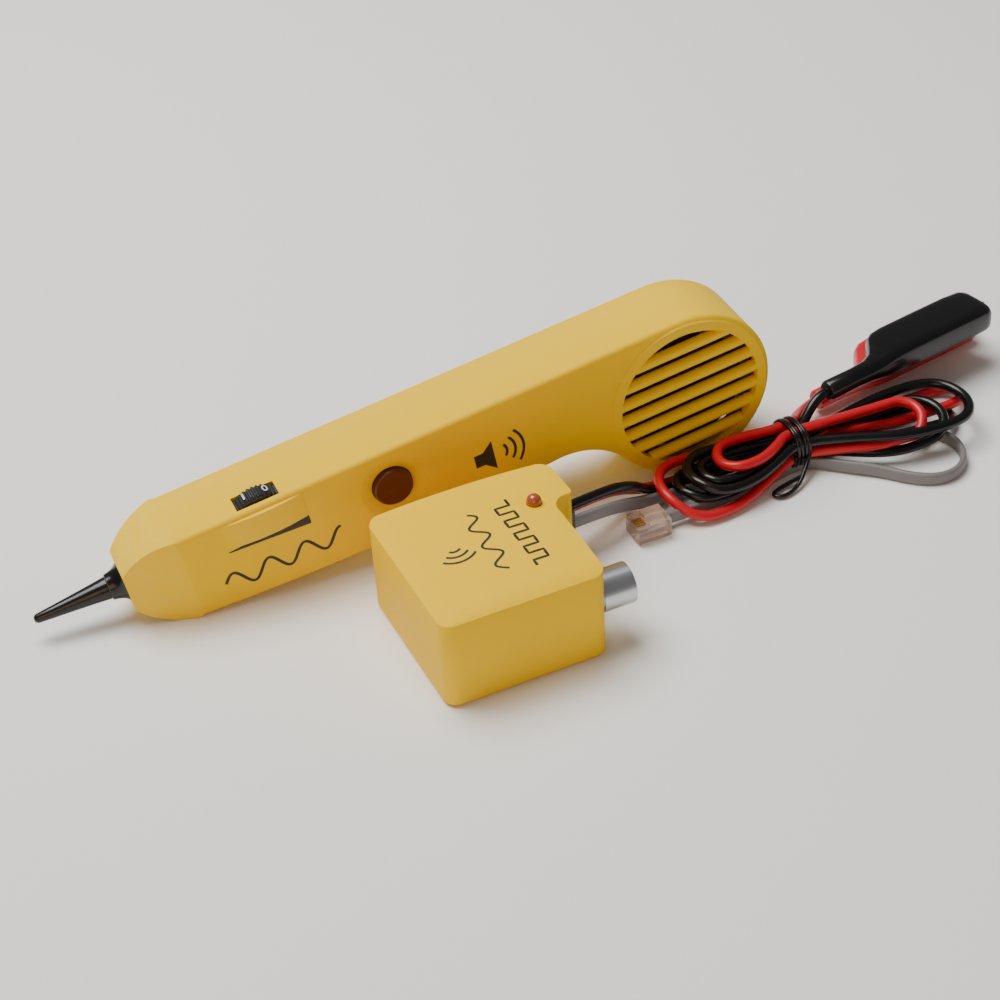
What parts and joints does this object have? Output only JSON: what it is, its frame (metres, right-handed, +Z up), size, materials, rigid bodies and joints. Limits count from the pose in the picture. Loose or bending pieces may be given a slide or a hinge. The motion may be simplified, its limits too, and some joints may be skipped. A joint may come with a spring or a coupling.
{
  "type": "tone probe kit",
  "caption": "Cable tracing kit: an amplifier probe with a speaker grille, volume wheel and push button, and a tone generator with a coax socket and tied leads.",
  "frame": {"origin": "centre of the tone generator's base, on the surface that the kit stands on", "axes": "+X along the generator towards its leads and socket, +Y from the generator towards the probe behind it, +Z up"},
  "size_m": [0.3579, 0.1061, 0.0613],
  "materials": {
    "yellow_plastic": "satin moulded ABS",
    "black_rubber": "soft gloss",
    "black_plastic": "moulded",
    "black_wire": "glossy vinyl insulation",
    "red_wire": "vinyl insulation",
    "grey_cord": "flat vinyl cord",
    "maroon_plastic": "moulded",
    "led_plastic": "diffused lens",
    "satin_metal": "satin nickel",
    "brass_metal": "gilt",
    "white_plastic": "moulded",
    "clear_plastic": "clear polycarbonate",
    "copper_jaw": "copper plated",
    "steel": "zinc plated",
    "circuit_board": "solder mask",
    "battery_case": "printed steel jacket",
    "speaker_paper": "pressed paper"
  },
  "bodies": {
    "generator": {"black_clip_boot": "black_rubber", "black_clip_jaw": "copper_jaw", "black_clip_pin": "steel", "black_clip_spring": "steel", "black_lead": "black_wire", "cable_gland": "black_rubber", "coax_contact": "brass_metal", "coax_insulator": "white_plastic", "coax_sleeve": "satin_metal", "generator_base_cover": "yellow_plastic", "generator_battery": "battery_case", "generator_battery_snap": "black_rubber", "generator_circuit_board": "circuit_board", "generator_screws": "steel", "generator_top_shell": "yellow_plastic", "grey_lead": "grey_cord", "grey_lead_loop": "grey_cord", "lead_hank": "black_wire", "led_lens": "led_plastic", "mode_switch_body": "black_plastic", "modular_plug": "clear_plastic", "plug_contacts": "brass_metal", "red_clip_boot": "red_wire", "red_clip_jaw": "copper_jaw", "red_clip_pin": "steel", "red_clip_spring": "steel", "red_lead": "red_wire", "twist_tie": "black_rubber"},
    "amplifier_probe": {"amplifier_parts": "black_plastic", "button_switch": "black_plastic", "probe_back_cover": "yellow_plastic", "probe_battery": "battery_case", "probe_battery_snap": "black_rubber", "probe_circuit_board": "circuit_board", "probe_front_shell": "yellow_plastic", "probe_screws": "steel", "probe_tip": "black_rubber", "speaker_cone": "speaker_paper", "speaker_frame": "steel", "speaker_magnet": "steel", "tip_collar": "black_rubber", "tip_contact": "brass_metal", "volume_pot": "black_plastic"},
    "volume_wheel": {"volume_wheel": "black_plastic"},
    "listen_button": {"listen_button": "maroon_plastic"},
    "battery_door": {"probe_battery_door": "yellow_plastic"},
    "mode_slider": {"mode_switch_slider": "black_plastic"},
    "black_clip_lever": {"black_clip_lever": "copper_jaw"},
    "red_clip_lever": {"red_clip_lever": "copper_jaw"}
  },
  "joints": [
    {"name": "probe_lift", "type": "slide", "parent": "generator", "child": "amplifier_probe", "axis": [0, 0, 1], "range_m": [0, 0.08]},
    {"name": "volume_turn", "type": "hinge", "parent": "amplifier_probe", "child": "volume_wheel", "pos_m": [-0.05824, 0.05391, 0.02904], "axis": [0.0344, 0.9994, 0], "range_deg": [0, 270]},
    {"name": "listen_press", "type": "slide", "parent": "amplifier_probe", "child": "listen_button", "axis": [0.0344, 0.9994, 0], "range_m": [0, 0.001], "stiffness_N_per_m": 1500, "springref_m": -0.0005},
    {"name": "battery_door_lift", "type": "slide", "parent": "amplifier_probe", "child": "battery_door", "axis": [0.0344, 0.9994, 0], "range_m": [0, 0.025]},
    {"name": "mode_slide", "type": "slide", "parent": "generator", "child": "mode_slider", "axis": [0, 0, 1], "range_m": [-0.0022, 0.0022]},
    {"name": "black_clip_open", "type": "hinge", "parent": "generator", "child": "black_clip_lever", "pos_m": [0.19231, 0.04986, 0.0189], "axis": [0, 0, 1], "range_deg": [0, 14], "stiffness_Nm_per_rad": 0.25, "springref_deg": -11.46},
    {"name": "red_clip_open", "type": "hinge", "parent": "generator", "child": "red_clip_lever", "pos_m": [0.19641, 0.06296, 0.0057], "axis": [0, 0, 1], "range_deg": [0, 14], "stiffness_Nm_per_rad": 0.25, "springref_deg": -11.46}
  ]
}
